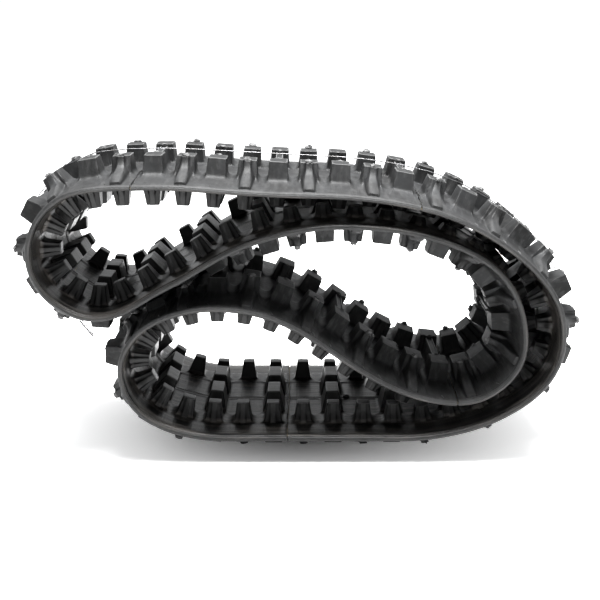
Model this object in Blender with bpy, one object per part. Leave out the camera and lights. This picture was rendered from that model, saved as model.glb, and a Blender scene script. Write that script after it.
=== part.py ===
"""A rubber track for a small tracked vehicle, folded in three layers and tied with one wire loop.

The track is first drawn flat: x runs along it, y across it, and z through it, growing from the
drive side to the tread. Each point is then bent on to the folded route, which lies in the world's
XZ plane. Heights of lugs that face another layer of the fold are pressed down until they are clear.
"""

import math

import bmesh
import bpy
import numpy as np
from mathutils import Matrix, Vector

MM = 0.001
COLLECTION = "rubber_track"

# Driving dimensions, in millimetres
LUG_PITCH = 37.34
LUG_COUNT = 72
SECTION_STARTS = (-2, 2, 6, 10, 14, 17, 21, 25, 29, 33, 37, 41, 44, 47, 50, 53, 57, 61, 65)
WIDTH = 317.5
THICKNESS = 8.0
SEAM_GAP = 0.3
CLEARANCE = 0.6
FOOT_LENGTH = 24.4
SHORTEST_LUG = 5.0
PRESS_STEP = 1.0

# Lugs: foot from and to, top from and to (all y from the middle), top length, height, side.
# Side is 1 on the tread and -1 on the drive side.
TREAD_ROW = (42.0, 92.0, 47.0, 83.0, 22.5, 26.0, 1)
TREAD_RIB = (92.0, 128.0, 92.5, 106.0, 11.0, 24.0, 1)
PADDLE = (-42.0, 42.0, -40.0, 40.0, 9.0, 23.0, 1)
DRIVE_OUTER = (80.0, 110.0, 85.0, 101.0, 15.9, 24.0, -1)
DRIVE_MID = (10.0, 62.0, 14.0, 58.0, 16.0, 25.5, -1)
TREAD_LINES = (42.0, 92.0, 128.0)
DRIVE_LINES = (10.0, 62.0, 80.0, 110.0)

# The tension ply lies in a slot nearer the drive side, and the stiffener rods lie on it
SLOT = (-2.6, -1.0, 150.0)
PLY = (-2.3, -1.3, 149.5)
GROOVE = (-1.8, 2.2, 4.8, 122.0)
ROD = (-0.8, 1.9, 4.5, 120.0)
SLOT_OVERRUN = 2.0

WIRE_RADIUS = 0.7
WIRE_LIFT = 0.3
TWIST_LENGTH = 24.0
TWIST_RADIUS = 1.4
TWIST_LEFT_OF = -200.0

# The fold, as points on the track's middle line: x, and height over the stretch on the floor.
# It starts at the left end of that stretch, heading left, and ends at its right end.
FLOOR_LINE = THICKNESS / 2 + TREAD_ROW[5]
ROUTE = [
    (-95, 0), (-126, 3), (-157, 11), (-184, 25), (-203, 44), (-213, 66), (-215, 90),
    (-205, 116), (-185, 137), (-155, 152), (-120, 160), (-82, 160), (-48, 154), (-12, 140),
    (25, 118), (61, 93), (97, 71), (128, 57), (160, 48), (192, 45), (218, 50),
    (241, 64), (258, 83), (267, 105), (268, 130), (263, 157), (251, 184), (233, 206),
    (205, 226), (174, 240), (140, 250), (106, 256), (70, 259), (35, 259), (0, 255),
    (-37, 246), (-72, 234), (-105, 217), (-140, 196), (-170, 180), (-198, 163), (-226, 151),
    (-254, 150), (-282, 161), (-305, 182), (-318, 211), (-317, 243), (-301, 274), (-274, 295),
    (-240, 303), (-200, 305), (-150, 305), (-90, 301), (-25, 297), (40, 295), (94, 290),
    (142, 281), (188, 266), (226, 246), (260, 222), (288, 194), (307, 163), (314, 126),
    (307, 89), (288, 60), (259, 37), (224, 19), (184, 7), (150, 1.5), (115, 0),
]
CENTRE_SHIFT = 2.43
FIRST_LUG = 0.366
SAMPLES = 24


def clamped_tangents(points):
    """Tangents that make a cubic through the points smooth, and level and leftward at both ends."""
    count = len(points)
    steps = np.linalg.norm(np.diff(points, axis=0), axis=1)
    system = np.eye(count)
    right = np.tile([-1.0, 0.0], (count, 1))
    for i in range(1, count - 1):
        before, after = steps[i - 1], steps[i]
        system[i, i - 1 : i + 2] = (after, 2 * (before + after), before)
        rise_before = (points[i] - points[i - 1]) / before
        rise_after = (points[i + 1] - points[i]) / after
        right[i] = 3 * (after * rise_before + before * rise_after)
    return np.linalg.solve(system, right), steps


def fine_route():
    """The fold as a fine closed line in millimetres, at exactly the length of the track."""
    points = np.array(ROUTE, float)
    tangents, steps = clamped_tangents(points)
    line = []
    for i, step in enumerate(steps):
        for j in range(SAMPLES):
            u = j / SAMPLES
            line.append(
                (1 + 2 * u) * (1 - u) ** 2 * points[i]
                + u * (1 - u) ** 2 * step * tangents[i]
                + u * u * (3 - 2 * u) * points[i + 1]
                + u * u * (u - 1) * step * tangents[i + 1]
            )
    line += [points[-1], points[0]]
    line = np.array(line)
    length = np.linalg.norm(np.diff(line, axis=0), axis=1).sum()
    return line * LUG_COUNT * LUG_PITCH / length + [CENTRE_SHIFT, FLOOR_LINE]


LINE = fine_route()
ALONG = np.concatenate([[0], np.cumsum(np.linalg.norm(np.diff(LINE, axis=0), axis=1))])
LENGTH = float(ALONG[-1])


def route_point(s):
    s = s % LENGTH
    return Vector((np.interp(s, ALONG, LINE[:, 0]), np.interp(s, ALONG, LINE[:, 1])))


def frame_at(s, half=0.5):
    """Centre, direction and outward (tread side) normal of the chord from s - half to s + half."""
    start, end = route_point(s - half), route_point(s + half)
    along = (end - start).normalized()
    return (start + end) / 2, along, Vector((-along.y, along.x))


def lug_place(number):
    """Distance of a lug's middle along the route."""
    return (number + FIRST_LUG) * LUG_PITCH


def lug_frame(number):
    return frame_at(lug_place(number), FOOT_LENGTH / 2)


def lugs_of(kind):
    """The numbers of the lugs that a kind of lug stands on."""
    every, first = {
        TREAD_ROW: (1, 0),
        TREAD_RIB: (2, 1),
        PADDLE: (4, 0),
        DRIVE_OUTER: (1, 0),
        DRIVE_MID: (2, 0),
    }[kind]
    return [n for n in range(LUG_COUNT) if n % every == first]


def outline(number, kind, height):
    """A lug's four corners in the plane of the fold."""
    top, side = kind[4], kind[6]
    centre, along, out = lug_frame(number)
    low, high = side * THICKNESS / 2, side * (THICKNESS / 2 + height)
    ends = ((-FOOT_LENGTH / 2, low), (FOOT_LENGTH / 2, low), (top / 2, high), (-top / 2, high))
    return [centre + along * x + out * z for x, z in ends]


def overlap(one, other):
    """Whether two convex outlines come closer than CLEARANCE along every edge's normal."""
    for shape in (one, other):
        for i, corner in enumerate(shape):
            edge = shape[(i + 1) % len(shape)] - corner
            normal = Vector((edge.y, -edge.x)).normalized()
            first = [p.dot(normal) for p in one]
            second = [p.dot(normal) for p in other]
            if max(first) + CLEARANCE < min(second) or max(second) + CLEARANCE < min(first):
                return False
    return True


def near_other_layer(number, corners):
    """Whether a lug's top comes too close to the belt of another layer of the fold."""
    away = np.abs((ALONG - lug_place(number) + LENGTH / 2) % LENGTH - LENGTH / 2)
    others = LINE[away > 3 * LUG_PITCH]
    reach = THICKNESS / 2 + CLEARANCE
    tips = [corners[2], corners[3], (corners[2] + corners[3]) / 2]
    return any(np.hypot(others[:, 0] - t.x, others[:, 1] - t.y).min() < reach for t in tips)


def pressed_heights(kind):
    """Each lug's height, less than the full one where another layer of the fold presses on it."""
    numbers = lugs_of(kind)
    full = kind[5]
    heights = dict.fromkeys(numbers, full)
    middles = {n: lug_frame(n)[0] for n in numbers}
    reach = 2 * (full + THICKNESS) + FOOT_LENGTH
    pairs = [
        (a, b)
        for a in numbers
        for b in numbers
        if 3 < b - a < LUG_COUNT - 3 and (middles[a] - middles[b]).length < reach
    ]
    facing = sorted({n for pair in pairs for n in pair})
    changed = True
    while changed:
        shapes = {n: outline(n, kind, heights[n]) for n in facing}
        low = {n for n in facing if near_other_layer(n, shapes[n])}
        for a, b in pairs:
            if overlap(shapes[a], shapes[b]):
                low |= {a, b}
        low = {n for n in low if heights[n] > SHORTEST_LUG}
        for n in low:
            heights[n] -= PRESS_STEP
        changed = bool(low)
    return heights


def crowded_top(number, side, height, top):
    """The top's length, less where the fold brings the neighbouring lugs' tops together."""
    centre, along, out = lug_frame(number)
    half = top / 2
    rise = side * (THICKNESS / 2 + height)
    for step in (-1, 1):
        middle, ahead, _ = frame_at(lug_place(number) + step * LUG_PITCH / 2)
        ahead = ahead * step
        room = (middle - centre).dot(ahead) - rise * out.dot(ahead) - CLEARANCE / 2
        half = min(half, room / along.dot(ahead * step))
    return 2 * half


def bent(s, y, h):
    """A point of the flat track, in metres on the folded route."""
    middle, _, out = frame_at(s)
    point = middle + out * h
    return Vector((point.x, y, point.y)) * MM


def bent_with_lug(number, s, y, h):
    """A point that keeps its place against a lug's foot, so that the lug stays straight."""
    centre, along, out = lug_frame(number)
    point = centre + along * (s - lug_place(number)) + out * h
    return Vector((point.x, y, point.y)) * MM


def lug_lines(numbers):
    """Places along the route where lugs' feet begin and end."""
    return [lug_place(n) + end * FOOT_LENGTH / 2 for n in numbers for end in (-1, 1)]


def cut_across(mesh, faces, at, direction):
    """Adds an edge line over the faces, where a plane crosses them."""
    edges = {edge for face in faces for edge in face.edges}
    verts = {vert for face in faces for vert in face.verts}
    bmesh.ops.bisect_plane(
        mesh, geom=[*verts, *edges, *faces], plane_co=direction * at, plane_no=direction, dist=1e-6
    )


def flat_slab(start, end, low, high, half_width):
    """A flat box in millimetres."""
    mesh = bmesh.new()
    size = Matrix.Diagonal((end - start, 2 * half_width, high - low, 1.0))
    middle = Matrix.Translation(((start + end) / 2, 0, (low + high) / 2))
    bmesh.ops.create_cube(mesh, size=1, matrix=middle @ size)
    return mesh


def surface(mesh, side):
    """The faces that look to the tread (side 1) or to the drive side (-1)."""
    mesh.normal_update()
    return [face for face in mesh.faces if face.normal.z * side > 0.9]


def raise_block(mesh, number, kind, half, height, tops):
    """Draws a lug out of its foot's faces; half is 1 or -1 for the side of the middle it is on."""
    foot_from, foot_to, top_from, top_to, top, _, side = kind
    top = crowded_top(number, side, height, top)
    place = lug_place(number)
    foot = []
    for face in surface(mesh, side):
        x, y, z = face.calc_center_median()
        if abs(x - place) < 1 and foot_from < half * y < foot_to and abs(z) < THICKNESS:
            foot.append(face)
    raised = bmesh.ops.extrude_face_region(mesh, geom=foot)["geom"]
    bmesh.ops.delete(mesh, geom=foot, context="FACES_ONLY")
    for vert in [item for item in raised if isinstance(item, bmesh.types.BMVert)]:
        x = place + math.copysign(top / 2, vert.co.x - place)
        y = top_from if half * vert.co.y < (foot_from + foot_to) / 2 else top_to
        vert.co = (x, half * y, side * (THICKNESS / 2 + height))
        tops[vert] = number


def bend(mesh, tops=None):
    """Moves a flat mesh on to the route."""
    tops = tops or {}
    for vert in mesh.verts:
        if vert in tops:
            vert.co = bent_with_lug(tops[vert], *vert.co)
        else:
            vert.co = bent(*vert.co)


def add_object(name, mesh, collection, material=None):
    mesh.normal_update()
    bmesh.ops.recalc_face_normals(mesh, faces=mesh.faces)
    data = bpy.data.meshes.new(name)
    mesh.to_mesh(data)
    mesh.free()
    made = bpy.data.objects.new(name, data)
    collection.objects.link(made)
    if material:
        data.materials.append(material)
    return made


def add_cutter(name, mesh, collection):
    cutter = add_object(name, mesh, collection)
    cutter.hide_render = True
    cutter.display_type = "WIRE"
    return cutter


def cut(piece, cutter):
    modifier = piece.modifiers.new(cutter.name, "BOOLEAN")
    modifier.operation = "DIFFERENCE"
    modifier.solver = "EXACT"
    modifier.object = cutter


def section_mesh(numbers, start, end, heights):
    """One press section of the rubber carcass with its lugs, still without its slot."""
    mesh = flat_slab(start, end, -THICKNESS / 2, THICKNESS / 2, WIDTH / 2)
    for at in lug_lines(numbers):
        cut_across(mesh, list(mesh.faces), at, Vector((1, 0, 0)))
    for side, lines in ((1, TREAD_LINES), (-1, DRIVE_LINES)):
        for at in lines:
            for half in (-1, 1):
                cut_across(mesh, surface(mesh, side), half * at, Vector((0, 1, 0)))
    tops = {}
    for kind, pressed in heights.items():
        for n in numbers:
            if n % LUG_COUNT not in pressed:
                continue
            height = pressed[n % LUG_COUNT]
            for half in (1,) if kind is PADDLE else (-1, 1):
                raise_block(mesh, n, kind, half, height, tops)
    bend(mesh, tops)
    return mesh


def slot_mesh(numbers, start, end):
    """The space that the tension ply takes up in one section, open at both seams."""
    low, high, half_width = SLOT
    mesh = flat_slab(start - SLOT_OVERRUN, end + SLOT_OVERRUN, low, high, half_width)
    for at in lug_lines(numbers):
        cut_across(mesh, list(mesh.faces), at, Vector((1, 0, 0)))
    bend(mesh)
    return mesh


def bar_mesh(number, shape):
    """A straight flat bar across the track at one lug: a stiffener rod, or the groove for it."""
    low, high, half_length, half_width = shape
    place = lug_place(number)
    mesh = flat_slab(place - half_length, place + half_length, low, high, half_width)
    for vert in mesh.verts:
        vert.co = bent_with_lug(number, *vert.co)
    return mesh


def build_sections(parts, cutters, rubber):
    kinds = (TREAD_ROW, TREAD_RIB, PADDLE, DRIVE_OUTER, DRIVE_MID)
    heights = {kind: pressed_heights(kind) for kind in kinds}
    ends = SECTION_STARTS[1:] + (SECTION_STARTS[0] + LUG_COUNT,)
    for i, (first, after) in enumerate(zip(SECTION_STARTS, ends)):
        numbers = range(first, after)
        start = lug_place(first - 0.5) + SEAM_GAP / 2
        end = lug_place(after - 0.5) - SEAM_GAP / 2
        mesh = section_mesh(numbers, start, end, heights)
        piece = add_object(f"carcass_section_{i + 1:02d}", mesh, parts, rubber)
        cut(piece, add_cutter(f"ply_slot_{i + 1:02d}", slot_mesh(numbers, start, end), cutters))
        for n in numbers:
            if n % LUG_COUNT in lugs_of(TREAD_RIB):
                cut(piece, add_cutter(f"rod_groove_{n}", bar_mesh(n, GROOVE), cutters))


def build_rods(parts, material):
    for i, n in enumerate(lugs_of(TREAD_RIB)):
        add_object(f"stiffener_rod_{i + 1:02d}", bar_mesh(n, ROD), parts, material)


def build_ply(parts, material):
    """The endless tension ply: rings of four corners along the route, joined into a closed strip."""
    low, high, half_width = PLY
    mesh = bmesh.new()
    rings = []
    for at in lug_lines(range(LUG_COUNT)):
        corners = ((-half_width, low), (half_width, low), (half_width, high), (-half_width, high))
        rings.append([mesh.verts.new(bent(at, y, h)) for y, h in corners])
    for i, ring in enumerate(rings):
        after = rings[(i + 1) % len(rings)]
        for a in range(4):
            b = (a + 1) % 4
            mesh.faces.new((ring[a], ring[b], after[b], after[a]))
    add_object("tension_ply", mesh, parts, material)


def hull(points):
    """The convex outline round points of a plane, anticlockwise."""
    points = sorted(set(points))
    chains = []
    for ordered in (points, points[::-1]):
        chain = []
        for p in ordered:
            while len(chain) > 1 and turn(chain[-2], chain[-1], p) <= 0:
                chain.pop()
            chain.append(p)
        chains += chain[:-1]
    return chains


def turn(a, b, c):
    return (b[0] - a[0]) * (c[1] - b[1]) - (b[1] - a[1]) * (c[0] - b[0])


def wire_corners():
    """Where the tie wire bends: round the outermost lugs, a little lower than their tops."""
    rise = THICKNESS / 2 + TREAD_ROW[5] - WIRE_RADIUS - WIRE_LIFT
    points = []
    for n in range(LUG_COUNT):
        centre, along, out = lug_frame(n)
        for end in (-1, 1):
            point = centre + along * end * PADDLE[4] / 2 + out * rise
            points.append((round(point.x, 3), round(point.y, 3)))
    return hull(points)


def wire_curve(name, points, radius, closed, parts, material):
    """A round wire through points of the fold's plane, in millimetres."""
    data = bpy.data.curves.new(name, "CURVE")
    data.dimensions = "3D"
    data.bevel_depth = radius * MM
    data.bevel_resolution = 2
    data.use_fill_caps = not closed
    spline = data.splines.new("POLY")
    spline.points.add(len(points) - 1)
    for point, (x, z) in zip(spline.points, points):
        point.co = (x * MM, 0, z * MM, 1)
    spline.use_cyclic_u = closed
    data.materials.append(material)
    parts.objects.link(bpy.data.objects.new(name, data))


def build_wire(parts, material):
    corners = wire_corners()
    wire_curve("tie_wire", corners, WIRE_RADIUS, True, parts, material)
    spans = zip(map(Vector, corners), map(Vector, corners[1:] + corners[:1]))
    at_the_left = [span for span in spans if max(span[0].x, span[1].x) < TWIST_LEFT_OF]
    start, end = max(at_the_left, key=lambda span: (span[1] - span[0]).length)
    along = (end - start).normalized()
    out = Vector((along.y, -along.x)) * (WIRE_RADIUS + TWIST_RADIUS + SEAM_GAP)
    middle = (start + end) / 2 + out
    twist = [middle + along * TWIST_LENGTH / 2 * way for way in (-1, 1)]
    wire_curve("wire_twist", twist, TWIST_RADIUS, False, parts, material)


def make_material(name, colour, roughness, metallic=0.0):
    material = bpy.data.materials.new(name)
    material.use_nodes = True
    shader = material.node_tree.nodes["Principled BSDF"]
    shader.inputs["Base Color"].default_value = (*colour, 1)
    shader.inputs["Roughness"].default_value = roughness
    shader.inputs["Metallic"].default_value = metallic
    return material


def main():
    for old in list(bpy.data.objects):
        bpy.data.objects.remove(old)
    parts = bpy.data.collections.new(COLLECTION)
    cutters = bpy.data.collections.new("cutters")
    for group in (parts, cutters):
        bpy.context.scene.collection.children.link(group)
    build_sections(parts, cutters, make_material("track_rubber", (0.022, 0.022, 0.024), 0.5))
    build_rods(parts, make_material("glass_fibre", (0.75, 0.72, 0.55), 0.45))
    build_ply(parts, make_material("cord_ply", (0.30, 0.26, 0.18), 0.8))
    build_wire(parts, make_material("steel_wire", (0.62, 0.63, 0.65), 0.35, 1.0))


main()
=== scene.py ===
"""The looks of a folded rubber track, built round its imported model.

The track is first laid out flat, in millimetres: s runs along it, y across it, and h through it,
growing towards the tread. lay() then bends every point on to the fold. Across the track, v is the
distance from its middle, and u is the distance along it from a lug's middle.
"""

import math
import random

import bpy
import numpy as np
from mathutils import Euler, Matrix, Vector


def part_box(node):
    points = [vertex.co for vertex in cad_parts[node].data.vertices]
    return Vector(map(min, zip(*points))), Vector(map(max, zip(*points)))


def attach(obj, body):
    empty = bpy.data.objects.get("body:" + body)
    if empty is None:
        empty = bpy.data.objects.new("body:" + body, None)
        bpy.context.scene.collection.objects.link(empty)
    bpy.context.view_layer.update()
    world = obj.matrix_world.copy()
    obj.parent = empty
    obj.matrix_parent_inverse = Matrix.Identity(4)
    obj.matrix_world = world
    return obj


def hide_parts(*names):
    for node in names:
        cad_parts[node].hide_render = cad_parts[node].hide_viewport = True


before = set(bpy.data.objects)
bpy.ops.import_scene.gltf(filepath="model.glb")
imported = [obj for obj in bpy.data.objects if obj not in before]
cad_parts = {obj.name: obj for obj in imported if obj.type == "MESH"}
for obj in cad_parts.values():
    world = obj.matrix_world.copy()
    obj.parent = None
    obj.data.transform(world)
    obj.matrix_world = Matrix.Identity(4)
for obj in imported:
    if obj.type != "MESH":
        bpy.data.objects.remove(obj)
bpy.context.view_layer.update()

MM = 0.001

# The track as it was designed, in millimetres
LUG_PITCH = 37.34
LUG_COUNT = 72
HALF_WIDTH = 158.75
HALF_THICKNESS = 4.0
FOOT_LENGTH = 24.4
LUG_HEIGHT = 26.0
CENTRE_SHIFT = 2.43
FIRST_LUG = 0.366
SAMPLES = 24
SECTION_STARTS = (-2, 2, 6, 10, 14, 17, 21, 25, 29, 33, 37, 41, 44, 47, 50, 53, 57, 61, 65)
ROUTE = [
    (-95, 0), (-126, 3), (-157, 11), (-184, 25), (-203, 44), (-213, 66), (-215, 90),
    (-205, 116), (-185, 137), (-155, 152), (-120, 160), (-82, 160), (-48, 154), (-12, 140),
    (25, 118), (61, 93), (97, 71), (128, 57), (160, 48), (192, 45), (218, 50),
    (241, 64), (258, 83), (267, 105), (268, 130), (263, 157), (251, 184), (233, 206),
    (205, 226), (174, 240), (140, 250), (106, 256), (70, 259), (35, 259), (0, 255),
    (-37, 246), (-72, 234), (-105, 217), (-140, 196), (-170, 180), (-198, 163), (-226, 151),
    (-254, 150), (-282, 161), (-305, 182), (-318, 211), (-317, 243), (-301, 274), (-274, 295),
    (-240, 303), (-200, 305), (-150, 305), (-90, 301), (-25, 297), (40, 295), (94, 290),
    (142, 281), (188, 266), (226, 246), (260, 222), (288, 194), (307, 163), (314, 126),
    (307, 89), (288, 60), (259, 37), (224, 19), (184, 7), (150, 1.5), (115, 0),
]

# The tops of each row of lugs in the frame: from and to, full height, and half the length
TREAD_TOP = (47, 83, LUG_HEIGHT, 11.25)
PADDLE_TOP = (20, 40, 23.0, 4.5)
DRIVE_OUTER_TOP = (85, 101, 24.0, 7.95)
DRIVE_MID_TOP = (14, 58, 25.5, 8.0)

# The looks: where the visible pieces begin, which of those ends are seams that show, how wide such
# a seam gapes, and the lump on the drive side's middle line, by its lug and its distance from it
PIECE_STARTS = (-2, 10, 17, 29, 44, 53, 61)
OPEN_SEAMS = (-2, 17, 44, 53)
SEAM_CRACK = 1.2
KNOT_LUG = 68
KNOT_PLACE = -19.5

# How far each side of a lug's middle the belt is straight, where it turns smooth towards its edge,
# and how far out the tread lugs' patches reach
STRAIGHT = 11.0
EDGE_ZONE = (96.0, 126.0)
TREAD_REACH = 149.5
HALF_PITCH = LUG_PITCH / 2

# How strongly the ribs' fronts show wear, and the sizes of the small torn shapes
RIB_WEAR = 0.25
FLASH_STEPS = 9
FLASH_HALF_WIDTH = 0.35
FLASH_ROOT = 0.6
SHARP_ANGLE = 48

WIRE_RADIUS = 0.65
WIRE_DROP = 1.0
WIRE_STEP = 9
WIRE_SWAY = 0.5
TWIST_TURNS = 4.5
TWIST_STEPS = 60
TWIST_SPREAD = 0.75

# The studio, in metres, watts and degrees
FLOOR_SIDE = 40.0
WHITE = 1.05
CAMERA_PLACE = (CENTRE_SHIFT * MM, -1.5868, 0.5319)
CAMERA_PITCH = 13.0
CAMERA_LENS = 75.2
DISPLAY_GAMMA = 0.86
RECT_U = (16.8, 14.0, 11.2, 8.4, 6.2, 4.6, 0.0, -4.6, -6.2, -8.4, -11.2, -14.0, -16.8)


# ---------------------------------------------------------------- the fold

def clamped_tangents(points):
    """Tangents that make a cubic through the points smooth, and level and leftward at both ends."""
    count = len(points)
    steps = np.linalg.norm(np.diff(points, axis=0), axis=1)
    system = np.eye(count)
    right = np.tile([-1.0, 0.0], (count, 1))
    for i in range(1, count - 1):
        before, after = steps[i - 1], steps[i]
        system[i, i - 1 : i + 2] = (after, 2 * (before + after), before)
        rise_before = (points[i] - points[i - 1]) / before
        rise_after = (points[i + 1] - points[i]) / after
        right[i] = 3 * (after * rise_before + before * rise_after)
    return np.linalg.solve(system, right), steps


def fine_route():
    """The fold as a fine closed line in millimetres, at exactly the length of the track."""
    points = np.array(ROUTE, float)
    tangents, steps = clamped_tangents(points)
    line = []
    for i, step in enumerate(steps):
        for j in range(SAMPLES):
            t = j / SAMPLES
            line.append(
                (1 + 2 * t) * (1 - t) ** 2 * points[i]
                + t * (1 - t) ** 2 * step * tangents[i]
                + t * t * (3 - 2 * t) * points[i + 1]
                + t * t * (t - 1) * step * tangents[i + 1]
            )
    line = np.array(line + [points[-1], points[0]])
    length = np.linalg.norm(np.diff(line, axis=0), axis=1).sum()
    floor_line = HALF_THICKNESS + LUG_HEIGHT
    return line * LUG_COUNT * LUG_PITCH / length + [CENTRE_SHIFT, floor_line]


LINE = fine_route()
ALONG = np.concatenate([[0], np.cumsum(np.linalg.norm(np.diff(LINE, axis=0), axis=1))])


def route_points(s):
    s = np.asarray(s) % ALONG[-1]
    return np.stack([np.interp(s, ALONG, LINE[:, 0]), np.interp(s, ALONG, LINE[:, 1])], -1)


def lug_place(number):
    return (number + FIRST_LUG) * LUG_PITCH


def lug_frames():
    """Each lug's middle and direction in the plane of the fold, from the chord of its foot."""
    places = lug_place(np.arange(LUG_COUNT))
    start = route_points(places - FOOT_LENGTH / 2)
    end = route_points(places + FOOT_LENGTH / 2)
    along = end - start
    return (start + end) / 2, along / np.linalg.norm(along, axis=1)[:, None]


MIDDLES, ALONGS = lug_frames()


def ease(x, low, high):
    """0 below low and 1 above high, smooth between."""
    t = np.clip((np.asarray(x, float) - low) / (high - low), 0, 1)
    return t * t * (3 - 2 * t)


def left_of(direction):
    return np.stack([-direction[..., 1], direction[..., 0]], -1)


def lay(points):
    """Flat points on the fold, in metres.

    Along the lugs the belt is straight under each lug and bent between them. Towards its edges,
    where there are no lugs, it follows the fold smoothly.
    """
    s, y, h = np.asarray(points, float).T
    from_lug = s - FIRST_LUG * LUG_PITCH + STRAIGHT
    number = np.floor(from_lug / LUG_PITCH).astype(int)
    past = from_lug - number * LUG_PITCH
    here, after = number % LUG_COUNT, (number + 1) % LUG_COUNT
    start = MIDDLES[here] + ALONGS[here] * STRAIGHT
    end = MIDDLES[after] - ALONGS[after] * STRAIGHT
    span = np.linalg.norm(end - start, axis=1)[:, None]
    t = np.clip((past - 2 * STRAIGHT) / (LUG_PITCH - 2 * STRAIGHT), 0, 1)[:, None]
    middle = (
        (1 + 2 * t) * (1 - t) ** 2 * start
        + t * (1 - t) ** 2 * span * ALONGS[here]
        + t * t * (3 - 2 * t) * end
        + t * t * (t - 1) * span * ALONGS[after]
    )
    way = (
        6 * t * (t - 1) * (start - end)
        + (1 - t) * (1 - 3 * t) * span * ALONGS[here]
        + t * (3 * t - 2) * span * ALONGS[after]
    )
    way /= np.linalg.norm(way, axis=1)[:, None]
    on_lug = (past < 2 * STRAIGHT)[:, None]
    straight = MIDDLES[here] + ALONGS[here] * (past - STRAIGHT)[:, None]
    middle = np.where(on_lug, straight, middle)
    way = np.where(on_lug, ALONGS[here], way)
    place = middle + left_of(way) * h[:, None]
    smooth_way = route_points(s + 1.5) - route_points(s - 1.5)
    smooth_way /= np.linalg.norm(smooth_way, axis=1)[:, None]
    smooth = route_points(s) + left_of(smooth_way) * h[:, None]
    place += (smooth - place) * ease(np.abs(y), *EDGE_ZONE)[:, None]
    height = np.maximum(place[:, 1], 0)
    return np.stack([place[:, 0], y, height], -1) * MM


# ---------------------------------------------------------------- the lugs' sizes in the frame

def section_points():
    """Each section's corners in millimetres, in the order of SECTION_STARTS."""
    names = sorted(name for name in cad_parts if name.startswith("carcass_section"))
    found = []
    for name in names:
        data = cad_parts[name].data
        flat = np.empty(len(data.vertices) * 3, np.float32)
        data.vertices.foreach_get("co", flat)
        found.append(flat.reshape(-1, 3) / MM)
    return names, found


SECTIONS, CORNERS = section_points()


def section_of(number):
    """Which section a lug stands on."""
    number = (number - SECTION_STARTS[0]) % LUG_COUNT + SECTION_STARTS[0]
    return max(i for i, first in enumerate(SECTION_STARTS) if first <= number)


def measured_lug(number, side, v_from, v_to, full):
    """A lug's height and top length in the frame, where layers of the fold may press it lower."""
    corners = CORNERS[section_of(number)]
    here = number % LUG_COUNT
    across = np.abs(corners[:, 1])
    flat = corners[:, [0, 2]] - MIDDLES[here]
    u = flat @ ALONGS[here]
    h = side * (flat @ left_of(ALONGS[here]))
    near = (across > v_from - 1) & (across < v_to + 1) & (np.abs(u) < FOOT_LENGTH / 2 + 0.2)
    near &= (h > HALF_THICKNESS + 4) & (h < HALF_THICKNESS + full + 0.3)
    if not near.any():
        return full, None
    top = h[near].max()
    length = 2 * np.abs(u[near & (h > top - 0.2)]).max()
    return top - HALF_THICKNESS, length


# ---------------------------------------------------------------- patches of the surface

def tread_floor(v):
    """The belt's surface between lugs on the tread side: higher along the lug rows."""
    v = np.asarray(v, float)
    rise = 1.7 * ease(v, 38, 48) - 2.3 * ease(v, 88, 112)
    return 4.9 + rise - 0.4 * ease(v, 112, 134) - 0.9 * ease(v, 134, TREAD_REACH)


def drive_floor(v):
    """The same on the drive side, as a height from the track's middle: a step each side of it."""
    v = np.asarray(v, float)
    return 3.7 - 0.7 * ease(v, 6, 9) + 1.2 * ease(v, 66, 68.5) - 0.3 * ease(v, 100, 114)


# How a lug's face runs from its corner to its middle. Each entry gives a share of the half-length
# and an offset, or no share and an offset from the rib's side, then how far out the point lies,
# as a share of the rib's depth.
PLAIN = [(share, 0, 0) for share in (1.0, 0.84, 0.66, 0.5, 0.34, 0.17)] + [(0, None, 0)]
RIB_SIDE = ((2.6, 0), (1.2, 0.13), (0.4, 0.6), (-0.1, 0.92), (-1.3, 1))
RIBBED = [(1.0, 0, 0)] + [(0, offset, depth) for offset, depth in RIB_SIDE] + [(0, None, 1)]


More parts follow.
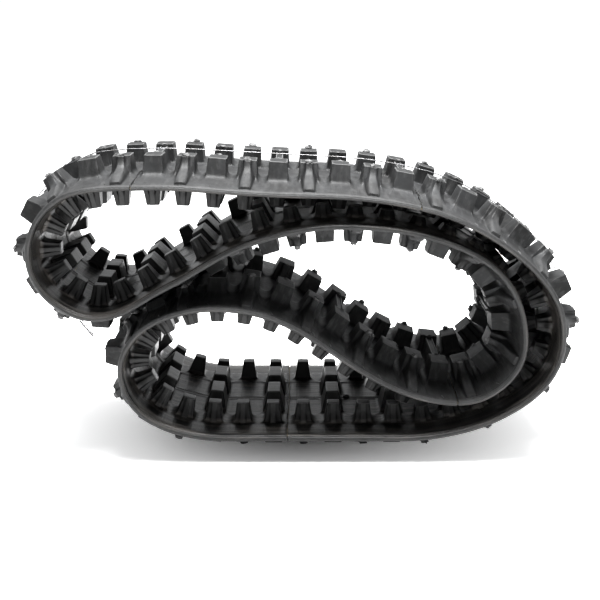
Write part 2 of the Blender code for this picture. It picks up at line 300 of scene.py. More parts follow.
class Lug:
    """The shape of one kind of lug and of the belt round it, as rings of points.

    foot and top give half-length, and v from and to. reach is v at the patch's two edges. Each
    fillet is how high the lug's foot sweeps up: at its inner face, its sides and its outer face.
    rib and rib_width give a rib's depth and width at the foot and at the top.
    """

    def __init__(self, foot, top, reach, height, fillets, floor, inner=PLAIN, outer=PLAIN, **more):
        self.foot, self.top, self.reach, self.height = foot, top, reach, height
        self.fillets, self.floor, self.inner, self.outer = fillets, floor, inner, outer
        self.corner = more.get("corner", 1.6)
        self.rib_width = more.get("rib_width", (9.0, 9.0))
        self.rib = more.get("rib", (0.0, 0.0))
        self.rib_fillet = more.get("rib_fillet", 1.5)
        self.hollow = more.get("hollow", 0.0)
        # How pale the lug's top is: wear, and on the middle drive lugs also a painted highlight.
        self.top_wear_and_highlight = more.get("top_wear_and_highlight", 0.1)
        self.bevel = more.get("bevel", 0.7)
        self.half_pitch = more.get("half_pitch", HALF_PITCH)

    def side_line(self, rows, rise, half, v, out):
        """Points along the inner or outer face at a height from foot, 0, to top, 1."""
        low, high = self.rib
        rib = high + (low - high) / (1 + (rise / 0.33) ** 5)
        width = self.rib_width[1] + (self.rib_width[0] - self.rib_width[1]) * (1 - rise) ** 2
        width = min(width, 1.5 * half)
        points = []
        for share, offset, depth in rows:
            if offset is None:
                u = 0.0
            elif share:
                u = share * half + offset
            else:
                u = width / 2 + offset
            points.append((min(u, half), v + out * depth * rib))
        return points + [(-u, v) for u, v in points[-2::-1]]

    def outline(self, rise, inset=0.0):
        """(u, v) once round the lug, anticlockwise seen from outside, from its outer right corner."""
        f, t = np.array(self.foot), np.array(self.top)
        half, v0, v1 = f + (t - f) * rise
        half, v0, v1 = half - inset, v0 + inset, v1 - inset
        r = min(self.corner, 0.45 * half)
        turn = np.radians((15, 30, 45, 60, 75))
        outer = self.side_line(self.outer, rise, half - r, v1, 1)
        inner = self.side_line(self.inner, rise, half - r, v0, -1)
        sides = np.linspace(v1 - r, v0 + r, 9)
        left_out = [(-(half - r) - r * math.sin(a), v1 - r + r * math.cos(a)) for a in turn]
        left_in = [(-(half - r) - r * math.cos(a), v0 + r - r * math.sin(a)) for a in turn]
        left = left_out + [(-half, v) for v in sides] + left_in
        right = [(-u, v) for u, v in left[::-1]]
        return np.array(outer + left + inner[::-1] + right)

    def rectangle(self):
        """Where each point of the outline ends on the patch's edge."""
        p = self.half_pitch
        scale = p / HALF_PITCH
        low, high = self.reach
        r = self.corner
        v0, v1 = self.foot[1], self.foot[2]
        across = [(u * scale, high) for u in RECT_U]
        out_gap, in_gap = high - v1, v0 - low
        left = [(-p, high), (-p, high - 0.3 * out_gap), (-p, high - 0.55 * out_gap)]
        left += [(-p, high - 0.75 * out_gap), (-p, high - 0.92 * out_gap)]
        left += [(-p, v) for v in np.linspace(v1 - r, v0 + r, 9)]
        left += [(-p, low + share * in_gap) for share in (0.92, 0.75, 0.55, 0.3)] + [(-p, low)]
        right = [(-u, v) for u, v in left[::-1]]
        return np.array(across + left + [(-u, low) for u, _ in across] + right)

    def sweep(self):
        """How high the foot sweeps up at each point of the outline."""
        inner, side, outer = self.fillets
        across = []
        for rows, fillet in ((self.outer, outer), (self.inner, inner)):
            half = [fillet + (self.rib_fillet - fillet) * depth for _, _, depth in rows]
            across.append(half + half[-2::-1])
        turn = (0.85, 0.6, 0.4, 0.2, 0.05)
        left = [side + (outer - side) * t for t in turn] + [side] * 9
        left += [side + (inner - side) * t for t in turn[::-1]]
        return np.array(across[0] + left + across[1] + left[::-1])

    def rib_front(self):
        """1 where the outline follows the front of a rib, and 0 elsewhere."""
        sides = []
        for rows in (self.outer, self.inner):
            half = [float(depth > 0.9) for _, _, depth in rows]
            sides.append(half + half[-2::-1])
        between = [0.0] * 19
        return np.array(sides[0] + between + sides[1] + between)

    def rings(self):
        """(u, v, h, floor, wear) of every ring, from the patch's edge to the lug's top."""
        edge, foot = self.rectangle(), self.outline(0)
        floor = self.floor(np.abs(edge[:, 1]))
        sweep = self.sweep()
        top = HALF_THICKNESS + self.height
        front = self.rib_front()
        made = []
        for t in (1.0, 0.86, 0.7, 0.52, 0.34, 0.16):
            share = 1 - math.cos(t * math.pi / 2)
            place = foot + (edge - foot) * share
            height = floor + sweep * (1 - math.sin(t * math.pi / 2))
            made.append((place, height, RIB_WEAR * front * (t < 0.2)))
        shoulder = top - self.bevel
        for rise in (0.0, 0.1, 0.25, 0.45, 0.65, 0.84, 0.95):
            height = floor + sweep + (shoulder - floor - sweep) * rise
            made.append((self.outline(rise), height, RIB_WEAR * front))
        level = np.ones(len(floor))
        made.append((self.outline(1.0), level * shoulder, 0.4 * level))
        made.append((self.outline(1.0, 0.3 * self.bevel), level * (top - 0.3 * self.bevel), level))
        made.append((self.outline(1.0, self.bevel), level * top, 0.7 * level))
        if self.hollow:
            made.append((self.outline(1.0, self.bevel + 0.8), level * top, level))
            low = level * (top - self.hollow)
            made.append((self.outline(1.0, self.bevel + 1.4), low, 0.3 * level))
        rim, height, _ = made[-1]
        for share in (0.8, 0.4):
            made.append((rim.mean(0) + (rim - rim.mean(0)) * share, height, self.top_wear_and_highlight * level))
        return [np.column_stack([place, h, floor, wear]) for place, h, wear in made]


def ring_faces(rings, count):
    """Quads between rings, and one face over the last."""
    k = np.arange(count)
    faces = []
    for r in range(rings - 1):
        a, b = r * count + k, r * count + (k + 1) % count
        faces += np.stack([a, b, b + count, a + count], -1).tolist()
    faces.append(((rings - 1) * count + k).tolist())
    return faces


class Surface:
    """Collects points and faces of the flat track, then bends them into one object."""

    def __init__(self):
        self.points, self.faces, self.torn, self.count = [], [], [], 0

    def add(self, points, faces, flip=False, torn=0.0):
        self.points.append(np.asarray(points, float))
        self.torn.append(np.broadcast_to(torn, len(points)))
        base = self.count
        for face in faces:
            moved = [i + base for i in face]
            self.faces.append(moved[::-1] if flip else moved)
        self.count += len(points)


def place_lug(surface, number, half, side, shape, pressed, lean=(0, 0)):
    """Puts one lug on the track. half is the side of the middle, and side is -1 on the drive side."""
    rings, faces = shape
    height, length, full, half_top = pressed
    points = np.concatenate(rings)
    u, v, h, floor, wear = points.T
    top = HALF_THICKNESS + full
    share = np.clip((h - floor) / (top - floor), 0, 1)
    h = floor + (h - floor) * (HALF_THICKNESS + height - floor) / (top - floor)
    if length is not None:
        u = u * (1 + (min(1.0, length / (2 * half_top)) - 1) * share)
    u = u + lean[0] * share**2
    v = v + lean[1] * share**2
    flat = np.column_stack([lug_place(number) + u, half * v, side * h])
    surface.add(flat, faces, flip=half * side < 0, torn=wear * (1.0 if side > 0 else 0.5))


def strip(surface, number, profile, half, side):
    """A band of the belt one pitch long; profile is (v, h) outwards, h already on its side."""
    u = np.array((HALF_PITCH,) + RECT_U + (-HALF_PITCH,))
    rows, columns = len(u), len(profile)
    points = [(lug_place(number) + a, half * v, h) for a in u for v, h in profile]
    faces = []
    for i in range(rows - 1):
        for j in range(columns - 1):
            a = i * columns + j
            faces.append((a, a + 1, a + columns + 1, a + columns))
    surface.add(points, faces, flip=half * side < 0)


def rim_profile():
    """From the tread's edge zone round the beaded rim to the wheel path."""
    tread = [(TREAD_REACH, 3.0), (151, 2.5), (151.8, 1.5)]
    centre, radius = 155.4, 3.1
    bead = []
    for degrees in (150, 125, 100, 75, 50, 30, 15):
        a = math.radians(degrees)
        bead.append((centre + radius * math.cos(a), radius * math.sin(a)))
    parting = [(158.9, 0.35), (158.9, -0.25)]
    under = [(v, -h) for v, h in bead[::-1]] + [(151.8, -1.7), (151, -2.9), (149.5, -3.6)]
    path = [(146, -3.95), (138, -4.1), (130, -4.15), (122, -4.15), (114, -float(drive_floor(114)))]
    return tread + bead + parting + under + path


RIM = rim_profile()
TREAD_MIDDLE = [(v, float(tread_floor(v))) for v in (0, 4, 9, 15, 21, 27, 33)]
GROOVES = ((0, 0.5), (0.7, 0.5), (1.1, -0.8), (1.7, -0.8), (2.1, 0.3), (2.8, 0.2), (4.0, 0.0))
DRIVE_MIDDLE = [(v, -(float(drive_floor(v)) + rise)) for v, rise in GROOVES]


TREAD_FLAT = Lug(
    foot=(12.0, 42.5, 93.0), top=(11.0, 47.0, 84.0), reach=(33.0, TREAD_REACH), height=LUG_HEIGHT,
    fillets=(3.0, 6.2, 6.5), floor=tread_floor, inner=RIBBED, outer=PLAIN,
    rib_width=(9.5, 8.0), rib=(4.5, 3.6),
)
TREAD_RIDGE = Lug(
    foot=(12.0, 42.5, 90.0), top=(10.8, 47.0, 81.5), reach=(33.0, TREAD_REACH), height=LUG_HEIGHT,
    fillets=(3.0, 6.2, 7.5), floor=tread_floor, inner=PLAIN, outer=RIBBED,
    rib_width=(14.0, 7.4), rib=(58.0, 7.0), rib_fillet=1.0,
)
PADDLE = Lug(
    foot=(7.0, -48.0, 48.0), top=(4.6, -50.0, 50.0), reach=(-52.0, 52.0), height=PADDLE_TOP[2],
    fillets=(1.0, 5.0, 1.0), floor=lambda v: np.full(np.shape(v), 4.7), half_pitch=13.0,
    hollow=1.4, bevel=0.5, corner=0.8,
)
DRIVE_OUTER = Lug(
    foot=(10.2, 80.0, 106.0), top=(7.6, 85.0, 101.0), reach=(72.0, 114.0),
    height=DRIVE_OUTER_TOP[2],
    fillets=(2.5, 5.0, 2.5), floor=drive_floor, inner=PLAIN, outer=RIBBED,
    rib_width=(7.0, 5.4), rib=(3.6, 0.9), corner=1.4, top_wear_and_highlight=0.4,
)
# The middle drive lugs' tops are worn pale and made paler still by a painted highlight.
DRIVE_MID = Lug(
    foot=(13.4, 10.5, 62.5), top=(7.8, 14.0, 58.0), reach=(4.0, 72.0),
    height=DRIVE_MID_TOP[2],
    fillets=(2.0, 3.0, 2.0), floor=drive_floor, corner=1.4, top_wear_and_highlight=0.9,
)


def blob(surface, number, half, side, middle, size, rng):
    """A small torn lump of rubber, such as the end of a vent."""
    rows, columns = 6, 9
    points = [(0, 0, 1)]
    for i in range(1, rows):
        for j in range(columns):
            polar, round_it = math.pi * i / rows, 2 * math.pi * j / columns
            across = math.sin(polar)
            points.append((across * math.cos(round_it), across * math.sin(round_it), math.cos(polar)))
    points.append((0, 0, -1))
    points = np.array(points)
    points *= 1 + np.array([[rng.uniform(-0.4, 0.3)] for _ in points])
    points = points * size + middle
    faces = [(0, 1 + j, 1 + (j + 1) % columns) for j in range(columns)]
    for i in range(rows - 2):
        for j in range(columns):
            a, b = 1 + i * columns + j, 1 + i * columns + (j + 1) % columns
            faces.append((a, a + columns, b + columns, b))
    last = len(points) - 1
    faces += [(last, last - 1 - j, last - 1 - (j + 1) % columns) for j in range(columns)]
    flat = np.column_stack([lug_place(number) + points[:, 0], half * points[:, 1], side * points[:, 2]])
    surface.add(flat, faces, flip=half * side < 0, torn=1.0)


def flash(surface, number, half, side, start, end, tallest, rng):
    """A thin ragged fin of rubber along a line from start to end, each (u, v, h)."""
    start, end = np.array(start, float), np.array(end, float)
    way = (end - start)[:2] / np.linalg.norm((end - start)[:2])
    across = np.array([-way[1], way[0], 0.0]) * FLASH_HALF_WIDTH
    root = (0, 0, FLASH_ROOT)
    points = []
    for i in range(FLASH_STEPS + 1):
        t = i / FLASH_STEPS
        base = start + (end - start) * t
        tip = base + (0, 0, tallest * rng.uniform(0.15, 1.0) * math.sin(math.pi * (0.08 + 0.84 * t)))
        tip[:2] += rng.uniform(-0.5, 0.5)
        points += [base - across - root, base + across - root, tip]
    last = 3 * FLASH_STEPS
    faces = [(0, 1, 2), (last + 2, last + 1, last)]
    for i in range(FLASH_STEPS):
        a = 3 * i
        faces += [(a, a + 2, a + 5, a + 3), (a + 1, a + 4, a + 5, a + 2), (a, a + 3, a + 4, a + 1)]
    points = np.array(points)
    flat = np.column_stack([lug_place(number) + points[:, 0], half * points[:, 1], side * points[:, 2]])
    surface.add(flat, faces, flip=half * side < 0, torn=1.0)


def seam_flash(surface, number, half, rng):
    """The ragged line of rubber squeezed out along a seam, on both sides of the belt."""
    for start in range(6, 146, 8):
        u = rng.uniform(0.9, 2.6) - HALF_PITCH
        end = start + rng.uniform(4, 8)
        for side, floor in ((1, tread_floor), (-1, drive_floor)):
            line_start = (u, start, float(floor(start)))
            line_end = (u + rng.uniform(-0.6, 0.6), end, float(floor(end)))
            flash(surface, number, half, side, line_start, line_end, rng.uniform(1.2, 3.2), rng)


def waves(s, y, seed):
    """A smooth wandering value between about -1 and 1."""
    rng = random.Random(seed)
    total = 0
    for _ in range(6):
        k, l, phase = rng.uniform(-0.16, 0.16), rng.uniform(-0.16, 0.16), rng.uniform(0, 6.3)
        total = total + np.sin(k * s + l * y + phase)
    return total / 4


def fine_waves(s, y, seed):
    return waves(s * 5, y * 5, seed)


def pressed_lug(number, side, top):
    """What place_lug needs to press a lug to its height and top length in the frame."""
    v_from, v_to, full, half_top = top
    height, length = measured_lug(number, side, v_from, v_to, full)
    return height, length, full, half_top


def add_tread_flash(surface, number, half, kind, top, length, rng):
    """The vent's knob on a tread lug, and the torn flash along its top's edges."""
    if kind == "ridge":
        knob = (rng.uniform(-1, 1), 84 + rng.uniform(-1.5, 1.5), top + 0.8)
        blob(surface, number, half, 1, knob, (4.6, 5.0, rng.uniform(2.0, 3.4)), rng)
    else:
        knob = (rng.uniform(-1, 1), 46.5, top - 0.2)
        blob(surface, number, half, 1, knob, (3.6, 3.6, rng.uniform(0.9, 1.8)), rng)
    for edge in (-1, 1):
        u = edge * (10.2 if length is None else min(10.2, length / 2 - 0.8))
        if rng.random() < 0.7:
            line = ((u, 50 + rng.uniform(0, 8), top), (u, 80 - rng.uniform(0, 14), top))
            flash(surface, number, half, 1, *line, rng.uniform(0.8, 4.0), rng)
    if rng.random() < 0.6:
        reach, out = (8.5, 84.3) if kind == "flat" else (4.0, 88.2)
        if length is None:
            line = ((-reach, out, top - 0.4), (reach, out, top - 0.4))
            flash(surface, number, half, 1, *line, 2.6, rng)


def add_belt(surface, number, half):
    """The parts of the belt that no lug's patch covers."""
    strip(surface, number, TREAD_MIDDLE, half, 1)
    strip(surface, number, RIM, half, 1)
    strip(surface, number, DRIVE_MIDDLE, half, -1)


def add_lugs(surface, number, shapes, rng):
    """One lug place with all that stands on it, on both sides of the middle and of the belt."""
    n = number % LUG_COUNT
    for half in (-1, 1):
        lean = (rng.uniform(-0.5, 0.5), rng.uniform(-0.4, 0.4))
        kind = "flat" if n % 2 == 0 else "ridge"
        height, length, full, half_top = pressed_lug(n, 1, TREAD_TOP)
        height += rng.uniform(-0.5, 0.0)
        pressed = (height, length, full, half_top)
        place_lug(surface, number, half, 1, shapes[kind], pressed, lean)
        add_tread_flash(surface, number, half, kind, HALF_THICKNESS + height, length, rng)
        tick = rng.uniform(-14, 14)
        flash(surface, number, half, 1, (tick, 138, 3.8), (tick + 3, 148, 3.1), 0.7, rng)
        if n in OPEN_SEAMS or n - LUG_COUNT in OPEN_SEAMS:
            seam_flash(surface, number, half, rng)
        pressed = pressed_lug(n, -1, DRIVE_OUTER_TOP)
        place_lug(surface, number, half, -1, shapes["drive_outer"], pressed)
        if n % 2 == 0:
            pressed = pressed_lug(n, -1, DRIVE_MID_TOP)
            place_lug(surface, number, half, -1, shapes["drive_mid"], pressed)
        else:
            left = DRIVE_MID.rectangle()[len(RECT_U) : len(RECT_U) + 19, 1]
            profile = [(v, -float(drive_floor(v))) for v in left[::-1]]
            strip(surface, number, profile, half, -1)
        add_belt(surface, number, half)
    if n == KNOT_LUG:
        blob(surface, number, 1, -1, (KNOT_PLACE, 0, 4.6), (5.0, 3.6, 2.4), rng)
    if n % 4 == 0:
        place_lug(surface, number, 1, 1, shapes["paddle"], pressed_lug(n, 1, PADDLE_TOP))


def merged(points, faces):
    """Which points to keep where several coincide, and the faces that are left on them."""
    _, first, index = np.unique(
        np.round(points, 4), axis=0, return_index=True, return_inverse=True
    )
    index = index.reshape(-1)
    clean = []
    for face in faces:
        mapped = [int(index[i]) for i in face]
        kept = [a for i, a in enumerate(mapped) if a != mapped[i - 1]]
        if len(kept) > 2:
            clean.append(kept)
    return first, clean


def set_attribute(data, name, kind, values):
    made = data.attributes.new(name, kind, "POINT")
    field = "vector" if kind == "FLOAT_VECTOR" else "value"
    made.data.foreach_set(field, np.ravel(values).astype(np.float32))


def rubber_piece(name, first, after, shapes, material):
    """One length of the track, from lug number first up to after."""
    rng = random.Random(first + 100)
    surface = Surface()
    for number in range(first, after):
        add_lugs(surface, number, shapes, rng)
    points = np.concatenate(surface.points)
    kept, faces = merged(points, surface.faces)
    s, y, h = points[kept].T
    v = np.abs(y)
    start, end = lug_place(first - 0.5), lug_place(after - 0.5)
    rough = 0.16 * waves(s, y, 3) + 0.06 * fine_waves(s, y, 5)
    h = h + np.where(h > 0, 1, -1) * rough * ease(HALF_WIDTH - v, 1, 8)
    for place, lug, way in ((start, first, 1), (end, after, -1)):
        at_end = np.abs(s - place) < 1e-6
        lug = (lug + 2) % LUG_COUNT - 2
        if lug in OPEN_SEAMS:
            jag = 1.0 * waves(h * 3, y * 6, 11) * (v < HALF_WIDTH - 2)
            lip = 0.5 + 0.5 * waves(h, y * 9, 13)
            s = np.where(at_end, s + jag + way * SEAM_CRACK / 2, s)
            h = np.where(at_end & (v < HALF_WIDTH - 4), h + np.sign(h) * lip * 0.8, h)
    flat = np.column_stack([s, y, h])
    data = bpy.data.meshes.new(name)
    data.from_pydata(lay(flat).tolist(), [], faces)
    set_attribute(data, "flat", "FLOAT_VECTOR", flat * MM)
    set_attribute(data, "drive", "FLOAT", ease(-h, -1.5, 2.5))
    set_attribute(data, "height", "FLOAT", np.clip((np.abs(h) - 7) / 23, 0, 1))
    set_attribute(data, "torn", "FLOAT", np.concatenate(surface.torn)[kept])
    data.materials.append(material)
    data.shade_smooth()
    data.set_sharp_from_angle(angle=math.radians(SHARP_ANGLE))
    data.validate()
    piece = bpy.data.objects.new(name, data)
    bpy.context.scene.collection.objects.link(piece)
    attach(piece, "track")
    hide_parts(*[SECTIONS[section_of(n)] for n in range(first, after)])
    return piece


# ---------------------------------------------------------------- materials

def nodes_of(name):
    material = bpy.data.materials.new(name)
    material.use_nodes = True
    tree = material.node_tree
    return material, tree, tree.nodes["Principled BSDF"]


def node(tree, kind, values=(), **settings):
    made = tree.nodes.new(kind)
    for key, value in settings.items():
        setattr(made, key, value)
    for key, value in dict(values).items():
        if isinstance(value, bpy.types.NodeSocket):
            tree.links.new(value, made.inputs[key])
        else:
            made.inputs[key].default_value = value
    return made


def maths(tree, operation, a, b=0.0, clamp=False):
    return node(tree, "ShaderNodeMath", {0: a, 1: b}, operation=operation, use_clamp=clamp).outputs[0]


def mix(tree, share, a, b):
    made = node(tree, "ShaderNodeMix", {"Factor": share, 6: a, 7: b}, data_type="RGBA")
    return made.outputs[2]


def noise(tree, vector, scale, detail=4.0, stretch=(1, 1, 1)):
    stretched = node(tree, "ShaderNodeMapping", {"Vector": vector, "Scale": stretch}).outputs[0]
    values = {"Vector": stretched, "Scale": scale, "Detail": detail, "Roughness": 0.6}
    return node(tree, "ShaderNodeTexNoise", values).outputs["Fac"]


def map_range(tree, value, start=(0.0, 1.0), end=(0.0, 1.0)):
    values = {"Value": value, "From Min": start[0], "From Max": start[1]}
    values |= {"To Min": end[0], "To Max": end[1]}
    return node(tree, "ShaderNodeMapRange", values, clamp=True).outputs[0]


def ramp(tree, factor, low, high):
    return map_range(tree, factor, (low, high))


def attribute(tree, name, output="Fac"):
    return node(tree, "ShaderNodeAttribute", attribute_name=name).outputs[output]


def scaled(tree, value, factor):
    return maths(tree, "MULTIPLY", value, factor)


def grey(level, warmth=0.0):
    return (level * (1 + warmth), level, level * (1 - warmth), 1)


def tread_colour(tree, flat, cloud):
    """Weathered grey-black, with dusty patches, streaks down the lugs and paler torn edges."""
    broad = noise(tree, flat, 24, 3)
    run = noise(tree, flat, 120, 5, stretch=(1.5, 0.25, 0.6))
    colour = mix(tree, ramp(tree, broad, 0.35, 0.68), grey(0.015), grey(0.036, -0.03))
    colour = mix(tree, scaled(tree, ramp(tree, run, 0.48, 0.72), 0.55), colour, grey(0.080))
    colour = mix(tree, scaled(tree, ramp(tree, cloud, 0.5, 0.8), 0.5), colour, grey(0.010))
    torn = maths(tree, "POWER", attribute(tree, "torn"), 2.0)
    top = ramp(tree, attribute(tree, "height"), 0.93, 1.0)
    colour = mix(tree, scaled(tree, top, 0.6), colour, grey(0.008))
    return mix(tree, scaled(tree, torn, 0.8), colour, grey(0.19))


def drive_colour(tree, flat, streak_and_sheen):
    """Near black, with brownish-grey streaks along the belt where the sprockets ran, made paler as a
    painted satin sheen, and tops paler from wear and a painted highlight.
    """
    broad = noise(tree, flat, 30, 3)
    low = maths(tree, "SUBTRACT", 1.0, ramp(tree, attribute(tree, "height"), 0.0, 0.12))
    colour = mix(tree, ramp(tree, broad, 0.3, 0.7), grey(0.003), grey(0.008))
    # Paler where torn or worn, and on the middle drive lugs' tops a painted highlight.
    colour = mix(tree, attribute(tree, "torn"), colour, grey(0.19))
    # The streaks' pale colour is partly their own and partly a painted satin sheen.
    share = scaled(tree, scaled(tree, ramp(tree, streak_and_sheen, 0.44, 0.68), low), 0.75)
    return mix(tree, share, colour, grey(0.17, 0.08))


def rubber_material():
    """Black moulded rubber: dusty and matt on the tread, darker and satin on the drive side."""
    material, tree, shader = nodes_of("moulded_rubber")
    flat = attribute(tree, "flat", "Vector")
    drive = attribute(tree, "drive")
    height = attribute(tree, "height")
    cloud = noise(tree, flat, 70, 5)
    grain = noise(tree, flat, 900, 3)
    streak_and_sheen = noise(tree, flat, 90, 5, stretch=(0.12, 1.4, 1))
    across = noise(tree, flat, 300, 3, stretch=(1.6, 0.06, 1))
    across_v = node(tree, "ShaderNodeSeparateXYZ", {0: flat}).outputs["Y"]
    edge = ramp(tree, maths(tree, "ABSOLUTE", across_v), 0.112, 0.150)
    bead = ramp(tree, maths(tree, "ABSOLUTE", across_v), 0.1515, 0.1535)
    colour = mix(tree, drive, tread_colour(tree, flat, cloud), drive_colour(tree, flat, streak_and_sheen))
    colour = mix(tree, scaled(tree, edge, 0.3), colour, grey(0.036))
    colour = mix(tree, scaled(tree, bead, 0.35), colour, grey(0.07))
    tree.links.new(colour, shader.inputs["Base Color"])
    rough_tread = map_range(tree, cloud, end=(0.45, 0.66))
    rough_drive = map_range(tree, streak_and_sheen, end=(0.22, 0.48))
    span = maths(tree, "SUBTRACT", rough_drive, rough_tread)
    rough = maths(tree, "ADD", rough_tread, scaled(tree, span, drive))
    tree.links.new(rough, shader.inputs["Roughness"])
    lines = scaled(tree, across, maths(tree, "SUBTRACT", 1.0, ramp(tree, height, 0.0, 0.3)))
    tall = maths(tree, "ADD", scaled(tree, grain, 0.12), scaled(tree, lines, 0.55))
    tall = maths(tree, "ADD", tall, scaled(tree, cloud, 0.6))
    tall = maths(tree, "ADD", tall, scaled(tree, streak_and_sheen, scaled(tree, drive, 0.5)))
    bump = node(tree, "ShaderNodeBump", {"Height": tall, "Strength": 0.6, "Distance": 0.0012})
    tree.links.new(bump.outputs[0], shader.inputs["Normal"])
    shader.inputs["Specular IOR Level"].default_value = 0.32
    return material


def steel_material():
    """Drawn steel wire, slightly dulled in patches."""
    material, tree, shader = nodes_of("tie_wire_steel")
    place = node(tree, "ShaderNodeTexCoord").outputs["Object"]
    patch = noise(tree, place, 60, 4)
    fine = noise(tree, place, 900, 3)
    colour = mix(tree, ramp(tree, patch, 0.4, 0.7), (0.32, 0.32, 0.33, 1), (0.16, 0.155, 0.15, 1))
    tree.links.new(colour, shader.inputs["Base Color"])
    rough = map_range(tree, patch, end=(0.25, 0.5))
    tree.links.new(rough, shader.inputs["Roughness"])
    bump = node(tree, "ShaderNodeBump", {"Height": fine, "Strength": 0.3, "Distance": 0.0002})
    tree.links.new(bump.outputs[0], shader.inputs["Normal"])
    shader.inputs["Metallic"].default_value = 1.0
    return material


def fibre_material(name, light, dark, stretch):
    """Bundled fibres or cords, for the rods and the ply inside the rubber."""
    material, tree, shader = nodes_of(name)
    place = node(tree, "ShaderNodeTexCoord").outputs["Object"]
    strands = noise(tree, place, 700, 4, stretch=stretch)
    colour = mix(tree, ramp(tree, strands, 0.35, 0.65), dark, light)
    tree.links.new(colour, shader.inputs["Base Color"])
    rough = map_range(tree, strands, end=(0.4, 0.7))
    tree.links.new(rough, shader.inputs["Roughness"])
    bump = node(tree, "ShaderNodeBump", {"Height": strands, "Strength": 0.5, "Distance": 0.0003})
    tree.links.new(bump.outputs[0], shader.inputs["Normal"])
    return material


def floor_material():
    """Pale and matt, and glowing a little away from the track so that it runs to white."""
    material, tree, shader = nodes_of("pale_floor")
    place = node(tree, "ShaderNodeTexCoord").outputs["Object"]
    away = node(tree, "ShaderNodeVectorMath", {0: place}, operation="LENGTH").outputs["Value"]
    grain = noise(tree, place, 3, 2)
    shader.inputs["Base Color"].default_value = (0.9, 0.9, 0.9, 1)
    rough = map_range(tree, grain, end=(0.85, 0.95))
    tree.links.new(rough, shader.inputs["Roughness"])
    shader.inputs["Specular IOR Level"].default_value = 0.1
    shader.inputs["Emission Color"].default_value = (1, 1, 1, 1)
    glow = map_range(tree, away, (0.05, 0.37), (0.0, 0.85))
    tree.links.new(glow, shader.inputs["Emission Strength"])
    return material


# ---------------------------------------------------------------- the wire

def turn(a, b, c):
    return (b[0] - a[0]) * (c[1] - b[1]) - (b[1] - a[1]) * (c[0] - b[0])


def hull(points):
    """The convex outline round points of a plane, anticlockwise."""
    points = sorted(set(points))
    chains = []
    for ordered in (points, points[::-1]):
        chain = []
        for p in ordered:
            while len(chain) > 1 and turn(chain[-2], chain[-1], p) <= 0:
                chain.pop()
            chain.append(p)
        chains += chain[:-1]
    return chains


def wire_curve(name, points, radius, closed, material):
    data = bpy.data.curves.new(name, "CURVE")
    data.dimensions = "3D"
    data.bevel_depth = radius
    data.bevel_resolution = 3
    data.use_fill_caps = not closed
    spline = data.splines.new("POLY")
    spline.points.add(len(points) - 1)
    for point, place in zip(spline.points, points):
        point.co = (*place, 1)
    spline.use_cyclic_u = closed
    data.materials.append(material)
    made = bpy.data.objects.new(name, data)
    bpy.context.scene.collection.objects.link(made)
    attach(made, "tie_wire")
    return made


def build_wire(material):
    """The wire loop over the outermost lugs, and its two ends twisted together."""
    radius = WIRE_RADIUS * MM
    rise = HALF_THICKNESS + LUG_HEIGHT - WIRE_DROP
    half_top = PADDLE_TOP[3]
    corners = []
    for n in range(LUG_COUNT):
        for end in (-half_top, half_top):
            place = MIDDLES[n] + ALONGS[n] * end + left_of(ALONGS[n]) * rise
            corners.append((round(float(place[0]), 3), round(float(place[1]), 3)))
    corners = hull(corners)
    points = []
    for i, (x, z) in enumerate(corners):
        after = corners[(i + 1) % len(corners)]
        length = math.dist((x, z), after)
        pieces = max(2, int(length / WIRE_STEP))
        for j in range(pieces):
            t = j / pieces
            sway = WIRE_SWAY * math.sin(7.1 * (i + t)) * math.sin(math.pi * t)
            points.append(((x + (after[0] - x) * t) * MM, sway * MM, (z + (after[1] - z) * t) * MM))
    wire = wire_curve("tie_wire_loop", points, radius, True, material)
    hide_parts("tie_wire")
    low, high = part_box("wire_twist")
    middle = (low + high) / 2
    way = Vector((low.x - high.x, 0, high.z - low.z)).normalized()
    half = (high - low).length / 2
    out = Vector((-way.z, 0, way.x))
    for i in range(2):
        turns = []
        for j in range(TWIST_STEPS + 1):
            t = j / TWIST_STEPS
            angle = 2 * math.pi * (TWIST_TURNS * t) + math.pi * i
            spread = TWIST_SPREAD * MM * (1 + 2.2 * max(0, t - 0.9) / 0.1)
            turns.append(
                middle + way * half * (2 * t - 1)
                + out * math.cos(angle) * spread + Vector((0, math.sin(angle) * spread, 0))
            )
        end = wire_curve(f"wire_end_{i + 1}", turns, radius, False, material)
        if i == 0:
            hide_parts("wire_twist")


# ---------------------------------------------------------------- the studio

def build_stage():
    floor = bpy.data.meshes.new("floor")
    corners = [(x * FLOOR_SIDE, y * FLOOR_SIDE, 0) for x, y in ((-1, -1), (1, -1), (1, 1), (-1, 1))]
    floor.from_pydata(corners, [], [(0, 1, 2, 3)])
    floor.materials.append(floor_material())
    made = bpy.data.objects.new("floor", floor)
    bpy.context.scene.collection.objects.link(made)


def area_light(name, place, target, size, power):
    data = bpy.data.lights.new(name, "AREA")
    data.shape = "RECTANGLE"
    data.size, data.size_y = size
    data.energy = power
    made = bpy.data.objects.new(name, data)
    made.location = place
    made.rotation_euler = (Vector(target) - Vector(place)).to_track_quat("-Z", "Y").to_euler()
    bpy.context.scene.collection.objects.link(made)


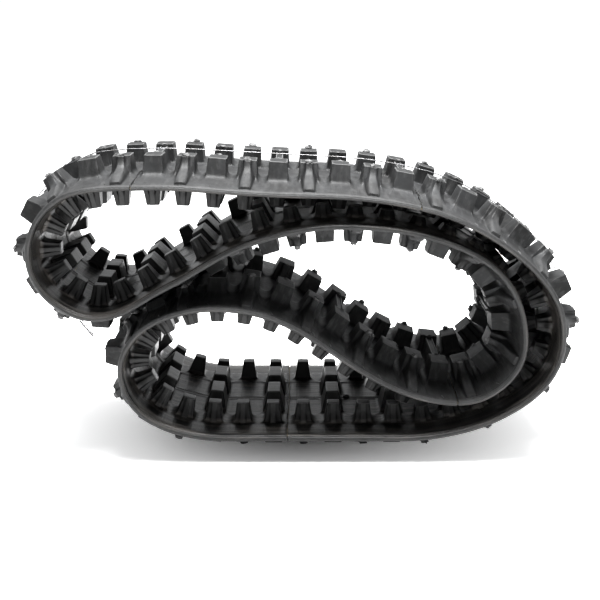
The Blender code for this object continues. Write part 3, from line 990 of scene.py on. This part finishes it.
def build_world():
    """A white surround behind the track, dim in front of it and white all round the horizon."""
    world = bpy.data.worlds.new("studio")
    world.use_nodes = True
    tree = world.node_tree
    way = node(tree, "ShaderNodeTexCoord").outputs["Generated"]
    way = node(tree, "ShaderNodeSeparateXYZ", {0: way}).outputs
    behind = map_range(tree, way["Y"], (-0.2, 0.45))
    back = map_range(tree, behind, end=(0.26, WHITE))
    horizon = map_range(tree, way["Z"], (0.0, 0.06), (WHITE, 0.0))
    strength = maths(tree, "MAXIMUM", back, horizon)
    background = tree.nodes["Background"]
    background.inputs["Color"].default_value = (0.98, 0.99, 1.0, 1)
    tree.links.new(strength, background.inputs["Strength"])
    bpy.context.scene.world = world


def build_lights():
    area_light("overhead", (0.1, 0.05, 2.4), (0, 0, 0.1), (1.8, 1.2), 205)
    area_light("front", (-0.8, -2.2, 1.9), (0, 0, 0.15), (1.4, 1.0), 3)


def build_camera():
    data = bpy.data.cameras.new("camera")
    data.sensor_width = 36.0
    data.lens = CAMERA_LENS
    camera = bpy.data.objects.new("camera", data)
    camera.location = CAMERA_PLACE
    camera.rotation_euler = Euler((math.radians(90 - CAMERA_PITCH), 0, 0))
    bpy.context.scene.collection.objects.link(camera)
    bpy.context.scene.camera = camera


def main():
    rubber = rubber_material()
    kinds = {
        "flat": TREAD_FLAT, "ridge": TREAD_RIDGE, "paddle": PADDLE,
        "drive_outer": DRIVE_OUTER, "drive_mid": DRIVE_MID,
    }
    shapes = {}
    for name, lug in kinds.items():
        rings = lug.rings()
        shapes[name] = (rings, ring_faces(len(rings), len(rings[0])))
    ends = PIECE_STARTS[1:] + (PIECE_STARTS[0] + LUG_COUNT,)
    for i, (first, after) in enumerate(zip(PIECE_STARTS, ends)):
        rubber_piece(f"track_rubber_{i + 1}", first, after, shapes, rubber)
    build_wire(steel_material())
    glass = fibre_material("glass_fibre_rod", (0.80, 0.77, 0.60, 1), (0.62, 0.58, 0.42, 1), (1, 0.05, 1))
    cord = fibre_material("cord_fabric", (0.36, 0.31, 0.21, 1), (0.20, 0.17, 0.12, 1), (0.1, 1, 1))
    for name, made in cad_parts.items():
        if name.startswith("stiffener_rod"):
            made.data.materials.clear()
            made.data.materials.append(glass)
        elif name == "tension_ply":
            made.data.materials.clear()
            made.data.materials.append(cord)
    build_stage()
    build_world()
    build_lights()
    build_camera()
    bpy.context.scene.view_settings.view_transform = "Standard"
    bpy.context.scene.view_settings.gamma = DISPLAY_GAMMA


main()
